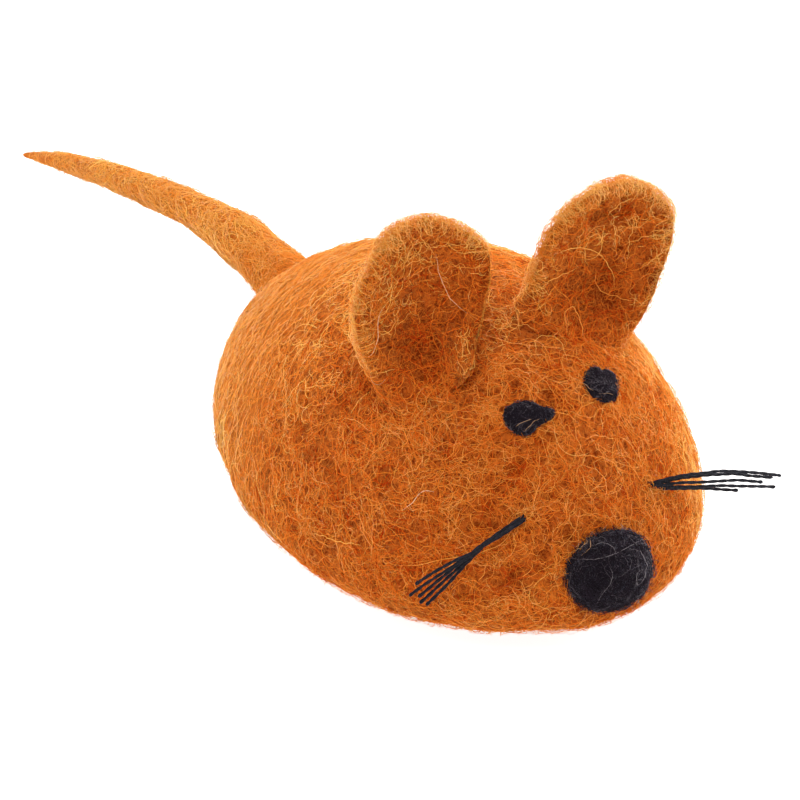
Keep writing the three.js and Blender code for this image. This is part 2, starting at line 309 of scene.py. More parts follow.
def felt(name, deep, dark, mid, light, pale, sheen_tint=(1, 0.55, 0.16)):
    """Matted felt: dark gaps, needle pits and layers of fine pale fibres, each raised a little. The gaps, and
    the pits and hollows that the shade attribute brings, are darkened as painted shade.
    """
    shader = Shader(name)
    at = shader.place()
    patches = shader.remap(shader.noise(at, 0.16, detail=3), 0.35, 0.65)
    clumps = shader.remap(shader.noise(at, 0.9, detail=3, distortion=0.6), 0.38, 0.62)
    gaps = shader.remap(shader.noise(at, 2.3, detail=2.5, rough=0.6), 0.44, 0.60)
    ground = shader.mix(clumps, dark, mid)
    ground = shader.mix(shader.maths("MULTIPLY", patches, 0.45), ground, light)
    # Painted shade: the gaps, which the bump sinks, are darkened towards deep.
    ground = shader.mix(shader.maths("MULTIPLY", gaps, 0.8), ground, deep)
    shade = shader.node("ShaderNodeAttribute", {}, attribute_name="shade").outputs["Fac"]
    # Painted shade: the shade attribute darkens the needle pits and ear hollows towards deep; it also darkens
    # the denser patches.
    ground = shader.mix(shader.maths("MULTIPLY", shade, 0.85, clamp=True), ground, deep)
    layers = [(1.1, 0.030, 7.0, mid), (0.8, 0.022, 19.0, light), (1.7, 0.035, 31.0, mid),
              (0.55, 0.012, 43.0, pale)]
    height = shader.maths("MULTIPLY", gaps, -0.9)
    for per_mm, width, shift, colour in layers:
        line = shader.fibre_lines(at, per_mm, width, shift)
        ground = shader.mix(shader.maths("MULTIPLY", line, 0.75), ground, colour)
        height = shader.maths("MAXIMUM", height, shader.maths("MULTIPLY", line, 0.8))
    ground = shader.mix(shader.maths("MULTIPLY", shade, -0.45, clamp=True), ground, pale)
    bump = shader.node("ShaderNodeBump", {"Height": height, "Strength": 0.7, "Distance": 0.12 * MM})
    return shader.finish({
        "Base Color": ground, "Normal": bump.outputs["Normal"], "Roughness": 0.92, "Specular IOR Level": 0.0,
        "Subsurface Weight": 0.5, "Subsurface Radius": (1, 1, 1), "Subsurface Scale": 0.3 * MM,
        "Sheen Weight": 0.2, "Sheen Roughness": 0.45, "Sheen Tint": (*sheen_tint, 1)})


# The felt under the fibres is a little darker than the fibres on it, as painted shade under the fibre layer:
# deep, dark, mid, light, pale.
orange_felt = felt("orange_felt", (0.120, 0.014, 0.001), (0.290, 0.048, 0.005), (0.430, 0.086, 0.009),
                   (0.530, 0.120, 0.013), (0.640, 0.160, 0.018))
black_felt = felt("black_felt", (0.004, 0.004, 0.006), (0.008, 0.008, 0.011), BLACK_WOOL,
                  (0.022, 0.020, 0.027), BLACK_LIGHT, sheen_tint=(0.8, 0.8, 1))
ORANGE_TONES = [
    wool_tone("wool_deep", ORANGE_DARK),
    wool_tone("wool_mid", ORANGE_MID),
    wool_tone("wool_warm", ORANGE_WARM),
    wool_tone("wool_light", ORANGE_LIGHT),
    wool_tone("wool_pale", ORANGE_PALE),
    wool_tone("wool_pinkish", PINKISH),
]
DEEP, MID, WARM, LIGHT, PALE, PINK = range(len(ORANGE_TONES))
BLACK_TONES = [
    wool_tone("wool_black", BLACK_WOOL, 0.1, (1, 1, 1)),
    wool_tone("wool_soot", BLACK_LIGHT, 0.1, (1, 1, 1)),
    wool_tone("wool_ash", (0.21, 0.18, 0.19), 0.1, (1, 1, 1)),
    wool_tone("wool_stray", (0.62, 0.34, 0.17)),
]
BLACK, SOOT, ASH, STRAY = range(len(BLACK_TONES))


# ---- the body's shape
def outline(u):
    """The body at u, from -1 at the rump to 1 at the nose: how full it is, its half width, how
    much higher than in its middle, and its widest level."""
    full = np.maximum(1 - np.abs(u) ** OUTLINE_POWER, 0) ** (1 / OUTLINE_POWER)
    half_width = BODY_WIDTH / 2 * full * (1 + FRONT_WIDER * u)
    return full, half_width, 1 + FRONT_HIGHER * u, BODY_WIDEST_Z - BODY_DROOP * u


def egg(directions):
    """The body's surface in each direction of a unit sphere whose poles are on X."""
    u = directions[:, 0]
    ring = np.maximum(np.hypot(directions[:, 1], directions[:, 2]), 1e-9)
    full, half_width, higher, level = outline(u)
    side = signed_power(directions[:, 1] / ring, 2 / SECTION_POWER)
    lift = signed_power(directions[:, 2] / ring, 2 / SECTION_POWER)
    z = level + full * lift * np.where(lift > 0, BODY_RISE * higher, BODY_WIDEST_Z + BODY_CUT)
    z = BELLY_HEM * np.logaddexp(0, z / BELLY_HEM)
    return np.column_stack([BODY_LENGTH / 2 * u, half_width * side, z])


def top_of_body(x, y):
    full, half_width, higher, level = outline(x / (BODY_LENGTH / 2))
    cosine = min(abs(y) / half_width, 1) ** (SECTION_POWER / 2)
    sine = math.sqrt(1 - cosine ** 2) ** (2 / SECTION_POWER)
    return level + BODY_RISE * full * higher * sine


def normal_of_body(x, y):
    step = 0.05
    slope_x = (top_of_body(x + step, y) - top_of_body(x - step, y)) / (2 * step)
    slope_y = (top_of_body(x, y + step) - top_of_body(x, y - step)) / (2 * step)
    return unit(np.array([-slope_x, -slope_y, 1.0]))


def rearward(x):
    """0 on the head, rising to 1 on the rump."""
    return ramp(8, -14, x)


def head_share(points):
    """How rough the felting is: 1 on the head and ears, falling off towards the smooth rump."""
    return 1 - 0.85 * ramp(4, -14, points[:, 0])


def pits(points):
    """Where the needle has left small deep holes: 1 in a hole, 0 elsewhere."""
    return head_share(points) * ramp(0.42, 0.75, field(points * (1, 1, 0.75) + 130, 1.15))


def shading(points):
    """How dark the felt is at each point, from 0 to 1: its denser patches, and painted shade in its needle
    pits and in the hollows at the ears' feet.
    """
    patches = ramp(0.05, 0.7, field(points + 170, 3.2))
    patches = patches * ramp(-0.3, 0.5, field(points + 210, 11)) * head_share(points)
    hollow_shade = 0.0
    # Painted shade: darker in the hollow at each ear's foot.
    for ear in EARS.values():
        forward, w, h = to_ear(ear, points).T
        away = (w / 4.2) ** 2 + ((h - 2.8) / 3.2) ** 2 + ((forward - 0.4) / 2.4) ** 2
        hollow_shade = np.maximum(hollow_shade, np.exp(-away))
    return np.clip(0.9 * pits(points) + 0.45 * patches + 0.9 * hollow_shade, 0, 1)


def felt_shade(points):
    """How dark the felt under the fibres is, from 1 down to -1, with the painted shade of shading: it is
    paler towards the rump.
    """
    return shading(points) - (1 - head_share(points))


def felted(points, faces, lumps=1.0, inset=0.0):
    """Pushes a smooth surface into the uneven one of hand felting: lumps, tufts and needle pits."""
    normals = point_normals(points, faces)
    push = 0.30 * field(points, 8.5) + 0.16 * field(points + 50, 3.4) + 0.09 * field(points + 90, 1.5)
    push = lumps * push - 0.3 * pits(points) - inset * ramp(-0.9, -0.4, normals[:, 2])
    return points + normals * push[:, None]


# ---- the ears' shape
def ear_frame(ear):
    """The ear's root and its forward, outward and upward directions."""
    yaw, lean = math.radians(ear["yaw"]), math.radians(ear["lean"])
    turn = Matrix.Rotation(yaw, 3, "Z") @ Matrix.Rotation(-lean, 3, "X")
    root = np.array([ear["x"], ear["y"], top_of_body(ear["x"], ear["y"])])
    return root, np.array(turn)


def to_ear(ear, points):
    """Points in the ear's own forward, outward and upward coordinates."""
    root, turn = ear_frame(ear)
    return (points - root) @ turn


def from_ear(ear, local):
    root, turn = ear_frame(ear)
    return root + local @ turn.T


def head_under_ear(ear, w):
    """The height of the head's surface in the ear's coordinates, at each distance across the ear."""
    root, turn = ear_frame(ear)
    w = np.atleast_1d(w)
    h = np.zeros_like(w)
    for _ in range(6):
        spots = root + np.column_stack([np.zeros_like(w), w, h]) @ turn.T
        tops = np.array([top_of_body(x, y) for x, y, _ in spots])
        h = h + (tops - spots[:, 2]) / turn[2, 2]
    return h


def ear_shape(ear, directions):
    """A cupped flap with a rolled rim, whose foot spreads into the head. The sphere's poles are
    its foot and crown."""
    along, across, facing = directions.T
    top, half_width = ear["top"], ear["half_width"]
    ring = np.maximum(np.hypot(across, facing), 1e-9)
    flat = signed_power(across / ring, 0.75)
    inward = -np.sign(across) * ear["side"] > 0
    foot, middle, crown = np.where(inward[:, None], ear["swell"]["inner"], ear["swell"]["outer"]).T
    swell = 1 + foot * np.maximum(-along, 0) ** 2 + middle * (1 - along ** 2)
    swell = swell + crown * np.maximum(along, 0) ** 2
    swell = swell * (1 - ear["pinch"] * inward * ramp(0.60, -0.50, along))
    w = half_width * swell * ring * flat
    h = EAR_FOOT + (top - EAR_FOOT) * (1 + along) / 2
    across_grid = np.linspace(-9, 9, 37)
    under = np.interp(w, across_grid, head_under_ear(ear, across_grid))
    h = h + (under - 0.6) * ramp(-0.35, -0.95, along)
    share = flat * np.minimum(ring * 1.5, 1)
    upright = np.clip(h / top, 0, 1)
    spread = np.exp(-np.maximum(h - under, 0) / 1.4) * ramp(-1.0, -0.8, along)
    rim = ramp(0.55, 0.95, np.hypot(share, np.maximum(along, 0)))
    thick = (1.35 + 0.15 * rim - 0.25 * upright + 1.1 * spread) * np.minimum(ring * 2.2, 1)
    inner = -share * ear["side"]
    roll = 0.3 * ear["fold"] * ramp(0.1, 0.9, inner) * ramp(8, 2, h)
    thick = thick + roll * np.minimum(ring * 2, 1)
    hollow = ramp(-1.5, 3.5, h) * (1 - 0.5 * upright ** 3)
    bowl = ear["cup"] * hollow * (share ** 2 - 0.5)
    fold = ear["fold"] * ramp(-2, 2.5, h) * (1 - 0.9 * ramp(3, 10, h))
    fold = fold * ramp(-0.1, 0.95, inner)
    forward = bowl + fold + 0.5 * upright ** 3 + thick * signed_power(facing / ring, 0.65)
    return from_ear(ear, np.column_stack([forward, w, h]))


# ---- the tail's shape
def tail_axis(x):
    """Height, slope and radius of the tail's centreline at x."""
    stations = np.array(TAIL_LINE)[::-1]
    fit = np.polynomial.polynomial.Polynomial.fit(stations[:, 0], stations[:, 1], 4)
    radius = np.interp(x, stations[:, 0], stations[:, 2])
    return fit(x), fit.deriv()(x), radius


def tail_tube(x_start, x_end, around=40, step=0.3):
    """A closed stretch of the tail, rounded off at the tip."""
    count = max(int(abs(x_end - x_start) / step), 4)
    xs = np.linspace(x_start, x_end, count)
    z, slope, radius = tail_axis(xs)
    tip = TAIL_LINE[-1][0]
    if x_end <= tip:
        radius = radius * np.sqrt(np.clip((xs - tip) / 0.8, 0.02, 1))
    normal = unit(np.column_stack([-slope, np.zeros(count), np.ones(count)]))
    turn = np.linspace(0, 2 * math.pi, around, endpoint=False)
    centre = np.column_stack([xs, np.zeros(count), z])
    rings = (centre[:, None] + radius[:, None, None] * (np.sin(turn)[None, :, None] * normal[:, None]
             + np.cos(turn)[None, :, None] * np.array([0, 1.0, 0])))
    points = np.vstack([rings.reshape(-1, 3), centre[:1], centre[-1:]])
    a, b, c, d = tube_quads(count, around)
    faces = np.vstack([np.column_stack([a, c, b]), np.column_stack([b, c, d])])
    j = np.arange(around)
    first, last = len(points) - 2, len(points) - 1
    rim = (count - 1) * around
    caps = np.vstack([np.column_stack([j, (j + 1) % around, np.full(around, first)]),
                      np.column_stack([rim + (j + 1) % around, rim + j, np.full(around, last)])])
    return points, outward(points, np.vstack([faces, caps]))


def tail_lumps(points):
    """The tail's rolled, slightly uneven surface."""
    z, _, radius = tail_axis(points[:, 0])
    centre = np.column_stack([points[:, 0], np.zeros(len(points)), z])
    out = points - centre
    swell = 1 + 0.09 * field(points * (1, 0.4, 0.4) + 7, 4.5) + 0.05 * field(points * (0.5, 1, 1) + 33, 1.6)
    return centre + out * (swell * (1 - FIBRE_LAYER / np.maximum(radius, 1)))[:, None]


# ---- fibres
def evened(path, times):
    """The path with its corners rounded off, and its ends kept."""
    for _ in range(times):
        path[1:-1] = (path[:-2] + 2 * path[1:-1] + path[2:]) / 4
    return path


def tubes(paths, radii, sides=TUBE_SIDES):
    """Closed tubes along many paths with the same number of points: points and triangles."""
    count, steps, _ = paths.shape
    along = unit(np.gradient(paths, axis=1))
    helper = unit(np.cross(along, np.array([0.31, 0.52, 0.80])))
    other = np.cross(along, helper)
    turn = np.arange(sides) * 2 * math.pi / sides
    ring = (np.cos(turn)[:, None] * helper[:, :, None, :] + np.sin(turn)[:, None] * other[:, :, None, :])
    points = paths[:, :, None, :] + ring * radii[:, :, None, None]
    base = (np.arange(count) * steps * sides)[:, None, None]
    a, b, c, d = tube_quads(steps, sides)
    wall = np.vstack([np.column_stack([a, b, c]), np.column_stack([b, d, c])])
    fan = np.array([[0, k + 1, k] for k in range(1, sides - 1)])
    end = (steps - 1) * sides + np.array([[0, k, k + 1] for k in range(1, sides - 1)])
    one = np.vstack([wall, fan, end])
    faces = (base + one[None]).reshape(-1, 3)
    return points.reshape(-1, 3), faces, len(one), ring.reshape(-1, 3)


def along_surface(vectors, normals):
    """Unit vectors, turned to lie along the surface."""
    return unit(vectors - normals * np.einsum("ij,ij->i", vectors, normals)[:, None])


class Fleece:
    """Fibres on one closed surface, walked over it from random starts."""

    def __init__(self, points, faces, seed):
        self.points, self.faces = points, faces
        self.normals = point_normals(points, faces)
        self.tree = BVHTree.FromPolygons(points.tolist(), faces.tolist())
        self.centres = points[faces].mean(axis=1)
        across = face_vectors(points, faces)
        self.area = np.linalg.norm(across, axis=1)
        self.facing = unit(across)
        self.random = np.random.default_rng(seed)

    def starts(self, count, density):
        """Random surface points, as thick as density says on each triangle."""
        weight = self.area * density
        chosen = self.random.choice(len(self.faces), count, p=weight / weight.sum())
        share = self.random.dirichlet((1, 1, 1), count)
        return np.einsum("nk,nkj->nj", share, self.points[self.faces[chosen]])

    def land(self, places):
        """The nearest surface points to places, and the smooth normals there."""
        found = np.empty_like(places)
        faces = np.empty(len(places), int)
        for i, place in enumerate(places.tolist()):
            spot, _, face, _ = self.tree.find_nearest(place)
            found[i] = spot
            faces[i] = face
        return found, unit(self.normals[self.faces[faces]].mean(axis=1))

    def walk(self, starts, steps, step, curl, heading=None):
        """Paths over the surface that turn at random, and the normals along them."""
        random = self.random
        place, normal = self.land(starts)
        wander = random.normal(size=place.shape) if heading is None else heading(place, random)
        going = along_surface(wander, normal)
        paths, normals = [place], [normal]
        curl = curl * (1 - 0.6 * rearward(place[:, 0]))
        turn = random.normal(0, 1, len(place)) * curl
        pace = step * random.uniform(0.75, 1.25, len(place))
        for _ in range(steps - 1):
            turn = 0.72 * turn + 0.7 * random.normal(0, 1, len(place)) * curl
            angle = (turn * pace)[:, None]
            going = unit(going * np.cos(angle) + np.cross(normal, going) * np.sin(angle))
            place, normal = self.land(place + going * pace[:, None])
            going = along_surface(going, normal)
            paths.append(place)
            normals.append(normal)
        return np.stack(paths, 1), np.stack(normals, 1)


def tapered(count, steps, width, random, spread=0.25):
    """Half-widths along each fibre, thin at both ends."""
    t = np.linspace(0, 1, steps)
    profile = np.clip(np.minimum(t, 1 - t) * 5, 0.25, 1)
    return width / 2 * random.uniform(1 - spread, 1 + spread, count)[:, None] * profile[None]


def crimped(paths, normals, random, size=0.07, wave=1.1):
    """The fine side-to-side waves of wool, laid on each path."""
    along = np.gradient(paths, axis=1)
    length = np.cumsum(np.linalg.norm(along, axis=2), axis=1)
    phase = random.uniform(0, 2 * math.pi, len(paths))[:, None] + length * 2 * math.pi / wave
    swing = size * random.uniform(0.3, 1.5, len(paths))[:, None] * np.sin(phase)
    return paths + np.cross(normals, unit(along)) * swing[:, :, None]


def lying(fleece, count, density, steps, step, curl, width, tones, lift=0.10, arch=0.25, heading=None):
    """Fibres that lie on the surface, some arching clear of it between their ends."""
    random = fleece.random
    paths, normals = fleece.walk(fleece.starts(count, density), steps, step, curl, heading)
    whole = np.linalg.norm(np.diff(paths, axis=1), axis=2).max(axis=1) < 1.7 * step
    paths, normals = paths[whole], normals[whole]
    count = len(paths)
    t = np.linspace(0, 1, steps)
    rise = arch * random.exponential(1, count)[:, None] * np.sin(math.pi * t)[None]
    level = random.uniform(-0.02, lift, count)[:, None] + np.minimum(rise, 4 * arch)
    ends = 0.10 * np.clip(1 - np.minimum(t, 1 - t) * 6, 0, 1)[None]
    paths = crimped(paths, normals, random) + normals * (level - ends)[:, :, None]
    return paths, tapered(count, steps, width, random), pick(random, paths[:, steps // 2], tones), normals


def standing(fleece, count, density, steps, reach, width, tones, slant=0.9):
    """Fuzz: one end is in the surface and the other curls clear of it."""
    random = fleece.random
    place, normal = fleece.land(fleece.starts(count, density))
    lean = random.normal(size=place.shape)
    lean = along_surface(lean, normal)
    way = unit(normal + slant * lean * random.uniform(0.3, 2.2, count)[:, None])
    length = reach * random.uniform(0.35, 1.0, count) ** 1.5
    paths = [place - normal * 0.05]
    bend = random.normal(0, 1.0, place.shape)
    for _ in range(steps - 1):
        bend = 0.7 * bend + random.normal(0, 0.5, place.shape)
        way = unit(way + 0.28 * bend)
        paths.append(paths[-1] + way * (length / (steps - 1))[:, None])
    normals = np.repeat(normal[:, None], steps, axis=1)
    return np.stack(paths, 1), tapered(count, steps, width, random), pick(random, place, tones), normals


def pick(random, places, tones):
    """A tone for each fibre from a mapping of tone to share, in order from dark to light. The darker ones
    gather where the felt is dark: its denser patches, and the painted shade in its needle pits and ear
    hollows."""
    limits = np.cumsum(list(tones.values())) / sum(tones.values())
    bias = 0.16 * field(places + 250, 2.4) + 0.10 * field(places + 290, 7.0) - 0.95 * shading(places)
    on_ears = on_an_ear(places)
    x, y, z = places.T
    # Painted glow: paler towards the rump, on the tail and back, on the left flank and round the right
    # haunch, and a few on the ears, standing in for light through the fuzz there.
    pale = 0.15 * ramp(8, -8, x) + 0.27 * ramp(-26, -36, x) + 0.02 * on_ears
    pale = pale + 0.18 * ramp(17, 25, z) * ramp(10, -4, x)
    pale = pale + 0.36 * ramp(6, 17, y)
    pale = pale + 0.24 * ramp(-15, -26, y + x / 1.5) * ramp(-34, -26, x)
    bias = bias + 0.16 * on_ears * field(places + 330, 1.6)
    calm = 1 - 0.8 * ramp(8, -16, x) + 0.8 * on_ears
    draw = np.clip(0.5 + calm * (random.uniform(0, 1, len(places)) + bias - 0.5), 0, 0.999) + pale
    palest = PALE if LIGHT in tones else list(tones)[-1]
    return np.array([*tones, palest])[np.searchsorted(limits, draw, side="right")]


def bundle(name, sets, materials, chosen=None):
    """One piece from all the fibres of the sets, or from those that are chosen in each set. The
    fibres take the light much as the felt under them does, so their normals lean towards its."""
    meshes, all_tones, all_normals = [], [], []
    for number, fibres in enumerate(sets):
        if chosen:
            fibres = [part[chosen[number]] for part in fibres]
        paths, radii, tones, normals = fibres
        if not len(paths):
            continue
        points, faces, per_fibre, round_normals = tubes(paths, radii)
        meshes.append((points, faces))
        all_tones.append(np.repeat(tones, per_fibre))
        felt_normals = np.repeat(normals.reshape(-1, 3), TUBE_SIDES, axis=0)
        smoothness = 0.75 + 3.5 * rearward(points[:, :1])
        all_normals.append(unit(round_normals + smoothness * felt_normals))
    points, faces = joined(meshes)
    points[:, 2] = np.maximum(points[:, 2], 0.02)
    made = piece(name, points, faces, materials, np.concatenate(all_tones))
    made.data.normals_split_custom_set_from_vertices(np.vstack(all_normals).tolist())
    return made


# ---- felt pieces
def make_body():
    directions, faces = sphere(6)
    points = felted(egg(directions), faces, inset=FIBRE_LAYER)
    points[:, 2] = np.maximum(points[:, 2], 0)
    made = piece("coat_felt", points, faces, [orange_felt], shade=felt_shade(points))
    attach(made, "body")
    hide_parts("body_coat", "belly_patch")
    return points, faces


def make_ear(side, ear):
    directions, faces = sphere(5)
    smooth = ear_shape(ear, directions)
    faces = outward(smooth, faces)
    points = felted(smooth, faces, lumps=0.7, inset=FIBRE_LAYER)
    made = piece(f"ear_{side}_felt", points, faces, [orange_felt], shade=shading(points))
    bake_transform(made)
    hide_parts(f"ear_{side}")
    return points, faces


TAIL_JOINTS = ["tail_sway", "tail_lift", "tail_sway_end", "tail_lift_end"]


def blend_tail(made):
    """Bakes a tail piece's placement into its mesh."""
    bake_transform(made)


def make_tail():
    edges = [TAIL_LINE[0][0] + TAIL_ROOT_REACH, *TAIL_CUTS_X, TAIL_LINE[-1][0]]
    stretches = []
    for i, (start, end) in enumerate(zip(edges, edges[1:])):
        points, faces = tail_tube(start, end)
        points = tail_lumps(points)
        made = piece(f"tail_felt_{i + 1}", points, faces, [orange_felt], shade=felt_shade(points))
        blend_tail(made)
        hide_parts(f"tail_{i + 1}")
        stretches.append((points, faces))
    return joined(stretches)


def merged_skin(parts, voxel=0.42):
    """One outer surface over the overlapping solids, with softened creases, to comb fibres over."""
    source = piece("skin_source", *joined(parts), [])
    remesh = source.modifiers.new("skin", "REMESH")
    remesh.mode = "VOXEL"
    remesh.voxel_size = voxel * MM
    soften = source.modifiers.new("soften", "SMOOTH")
    soften.iterations = 4
    done = source.evaluated_get(bpy.context.evaluated_depsgraph_get()).to_mesh()
    done.calc_loop_triangles()
    skin = np.array([v.co for v in done.vertices]) / MM
    triangles = np.array([t.vertices for t in done.loop_triangles])
    source.to_mesh_clear()
    bpy.data.objects.remove(source)
    return skin, triangles


# ---- building
body = make_body()
ears = {side: make_ear(side, ear) for side, ear in EARS.items()}
tail = make_tail()
skin = merged_skin([body, *ears.values(), tail])
fleece = Fleece(*skin, SEED)


def ear_zone(side, points):
    """True where points are on that ear, or on its spread foot."""
    local = to_ear(EARS[side], points)
    return ((np.abs(local[..., 0]) < 5) & (np.abs(local[..., 1]) < 9) & (local[..., 2] > 0.6)
            & (points[..., 2] > 18))


def on_an_ear(points):
    return ear_zone("left", points) | ear_zone("right", points)


def fibre_density(points):
    """Thickest on the head and ears, thinner on the flat belly."""
    dense = 1.0 + 0.9 * ramp(-6, 10, points[:, 0])
    dense = dense + 0.8 * on_an_ear(points)
    dense = np.where(points[:, 2] < 1.0, 0.35, dense) * (1 - 0.9 * pits(points))
    return np.where(points[:, 0] < TAIL_ROOT_X, 1.6, dense)


def ear_rims(points, facing):
    """Only on the rims of the ears, where the flaps turn from front to back."""
    dense = np.zeros(len(points))
    for side, ear in EARS.items():
        turned = facing @ ear_frame(ear)[1]
        edge = ramp(0.42, 0.1, np.abs(turned[:, 0]))
        _, across, height = to_ear(ear, points).T
        unfolded = (height > 3 * ear["fold"]) | (across * ear["side"] > 0)
        dense = np.maximum(dense, edge * ramp(1.5, 4, height) * unfolded * ear_zone(side, points))
    return dense


def at_roots(points):
    """Round the two places where the whiskers leave the muzzle."""
    roots = np.array([tuft["root"] for tuft in WHISKERS.values()])
    away = np.linalg.norm(points[:, None] - roots[None], axis=2).min(axis=1)
    return ramp(1.6, 0.6, away)


def off_belly(points):
    """Mostly on the head, ears and back."""
    return np.where((points[:, 0] > -20) & (points[:, 2] > 6), 1.0, 0.1)


def combed(place, random):
    """Random directions on the head, mostly round the girth on the flanks, and along the tail."""
    wander = random.normal(size=place.shape)
    way = random.choice([-1, 1], len(place))[:, None]
    girth = unit(np.column_stack([np.zeros(len(place)), BODY_WIDEST_Z - place[:, 2], place[:, 1]]))
    rear = ramp(10, -14, place[:, 0])[:, None]
    on_tail = (place[:, 0] < TAIL_ROOT_X)[:, None]
    return unit(wander) + 1.8 * rear * way * np.where(on_tail, (1.0, 0, 0), girth)


def clear_of_holes(paths):
    """True for each fibre that crosses no needle hole."""
    flat = paths[:, 1:-1].reshape(-1, 3)
    near = np.array([holes.find(spot)[1:] for spot in flat.tolist()])
    inside = near[:, 1] < hole_radius[near[:, 0].astype(int)]
    return ~inside.reshape(len(paths), -1).any(axis=1)


def loose(fibres):
    """The fibres that lie clear of the needle holes."""
    keep = clear_of_holes(fibres[0])
    return tuple(part[keep] for part in fibres)


def drawn(fleece, start, heading, turns, stride, tone, width, steps=5):
    """One stray fibre that sets off from start and turns by so many degrees, to its left, over
    each stride."""
    place, normal = fleece.land(np.array([start], float))
    going = np.array([heading], float)
    random = fleece.random
    path, normals = [], []
    for turn in [0, *turns]:
        for _ in range(steps):
            going = unit(going - normal * (going @ normal[0])[:, None])
            angle = math.radians(turn / steps) + random.normal(0, 0.16)
            going = going * math.cos(angle) + np.cross(normal, going) * math.sin(angle)
            place, normal = fleece.land(place + going * stride / steps)
            path.append(place[0] + normal[0] * (0.22 + 0.10 * random.normal()))
            normals.append(normal[0])
    path = evened(np.array(path), 1)
    return path[None], tapered(1, len(path), width, random), np.array([tone]), np.array(normals)[None]


def traced(fleece, stops, tone, width, steps=36):
    """One stray fibre laid on the surface through the given places."""
    stops = np.array(stops)
    t = np.linspace(0, len(stops) - 1, steps)
    line = np.column_stack([np.interp(t, np.arange(len(stops)), axis) for axis in stops.T])
    line, normals = fleece.land(evened(line, 5))
    line = line + normals * (0.26 + 0.05 * fleece.random.normal(size=(steps, 1)))
    return line[None], tapered(1, steps, width, fleece.random), np.array([tone]), normals[None]


def thinned(count):
    return int(count * (1.0))


centres = fleece.centres
all_over, long_places, rims = fibre_density(centres), off_belly(centres), ear_rims(centres, fleece.facing)
fuzzy = all_over * (0.35 + 0.65 * ramp(-14, 4, centres[:, 0]))
hole_density = (centres[:, 2] > 1) * ramp(-24, 0, centres[:, 0]) * (1 + 1.5 * on_an_ear(centres))
hole_spots = fleece.starts(thinned(2900), hole_density)
hole_radius = fleece.random.uniform(0.16, 0.34, len(hole_spots))
holes = KDTree(len(hole_spots))
for hole, spot in enumerate(hole_spots.tolist()):
    holes.insert(spot, hole)
holes.balance()
sets = [
    loose(lying(fleece, thinned(40000), all_over, 11, 0.28, 1.1, 0.052,
                {DEEP: 5, MID: 8, WARM: 6, LIGHT: 2}, lift=0.10, arch=0.04, heading=combed)),
    loose(lying(fleece, thinned(13000), all_over, 14, 0.34, 0.6, 0.048,
                {MID: 6, WARM: 6, LIGHT: 3}, lift=0.18, arch=0.08, heading=combed)),
    lying(fleece, thinned(34), long_places, 22, 0.36, 0.8, 0.05, {LIGHT: 3, PALE: 3},
          lift=0.3, arch=0.20, heading=combed),
    loose(standing(fleece, thinned(22000), fuzzy, 4, 0.85, 0.035, {MID: 4, WARM: 6, LIGHT: 4})),
    loose(lying(fleece, thinned(8000), fuzzy, 8, 0.22, 1.7, 0.035, {MID: 4, WARM: 5, LIGHT: 4},
                lift=0.45, arch=0.06)),
    lying(fleece, 110, at_roots(centres), 9, 0.24, 1.2, 0.036, {MID: 3, WARM: 4, LIGHT: 4},
          lift=0.75, arch=0.1),
    # Painted glow: the fuzz on the ear rims is drawn pale and golden, standing in for light shining through
    # it.
    lying(fleece, thinned(3000), rims, 8, 0.22, 2.2, 0.036, {WARM: 3, LIGHT: 6, PALE: 3},
          lift=0.6, arch=0.08),
    standing(fleece, thinned(2500), rims, 5, 1.1, 0.036, {WARM: 2, LIGHT: 6, PALE: 3}, slant=1.2),
]
# The few long pale strays that stand out: start, heading, turns in degrees, stride, tone, width.
STRAYS = [
    ((13.4, -12.0, 32.8), (0, -2, -1.5), (95, -15, -50, 55, 80, 75), 1.9, PINK, 0.07),
    ((13.7, -8.7, 36.0), (0, 2, -2.4), (25, 60, 20), 1.9, PINK, 0.06),
    ((17.7, -14.6, 14.0), (0.3, 0.7, 0.6), (5, -10), 1.3, PINK, 0.09),
    ((6.2, -16.3, 18.2), (2, 1, 1), (-15, -20, -30, -35), 2.2, LIGHT, 0.07),
    ((25.0, 1.0, 18.3), (0.7, 1.4, -1.2), (10, 50, 60, 30), 2.0, LIGHT, 0.06),
    ((21.4, -1.9, 22.1), (1, 0.5, -0.9), (35, 50, 40), 1.7, PALE, 0.055),
    ((18.4, -15.6, 9.3), (1.4, 1, 0), (-10, 5, 25, 30), 2.5, LIGHT, 0.07),
    ((12.0, -4.0, 26.2), (1.5, 2, -0.5), (-10, 10, 20, -30), 2.0, LIGHT, 0.07),
]
# The one across the left ear: how far across the flap and up it.
EAR_STRAY = [(-6.0, 6.2), (-4.3, 6.9), (-2.5, 7.1), (-1.0, 6.9), (0.1, 6.3), (1.0, 5.3), (1.8, 4.1)]
sets += [drawn(fleece, *stray) for stray in STRAYS]
stops = [from_ear(EARS["left"], np.array([3.0, w, h])) for w, h in EAR_STRAY]
sets.append(traced(fleece, stops, PALE, 0.07))


# The coat's fibres are many pieces, in lanes round the girth and rings along the length.
COAT_LANES, COAT_CUTS_X = 4, (-14, 1, 11, 18)
COAT_RINGS = len(COAT_CUTS_X) + 1
EAR_PARTS = 3                      # back, lower front and upper front


def numbered(stem, numbers):
    """Piece names, counted from 1."""
    return np.array([f"{stem}_{number + 1}" for number in numbers])


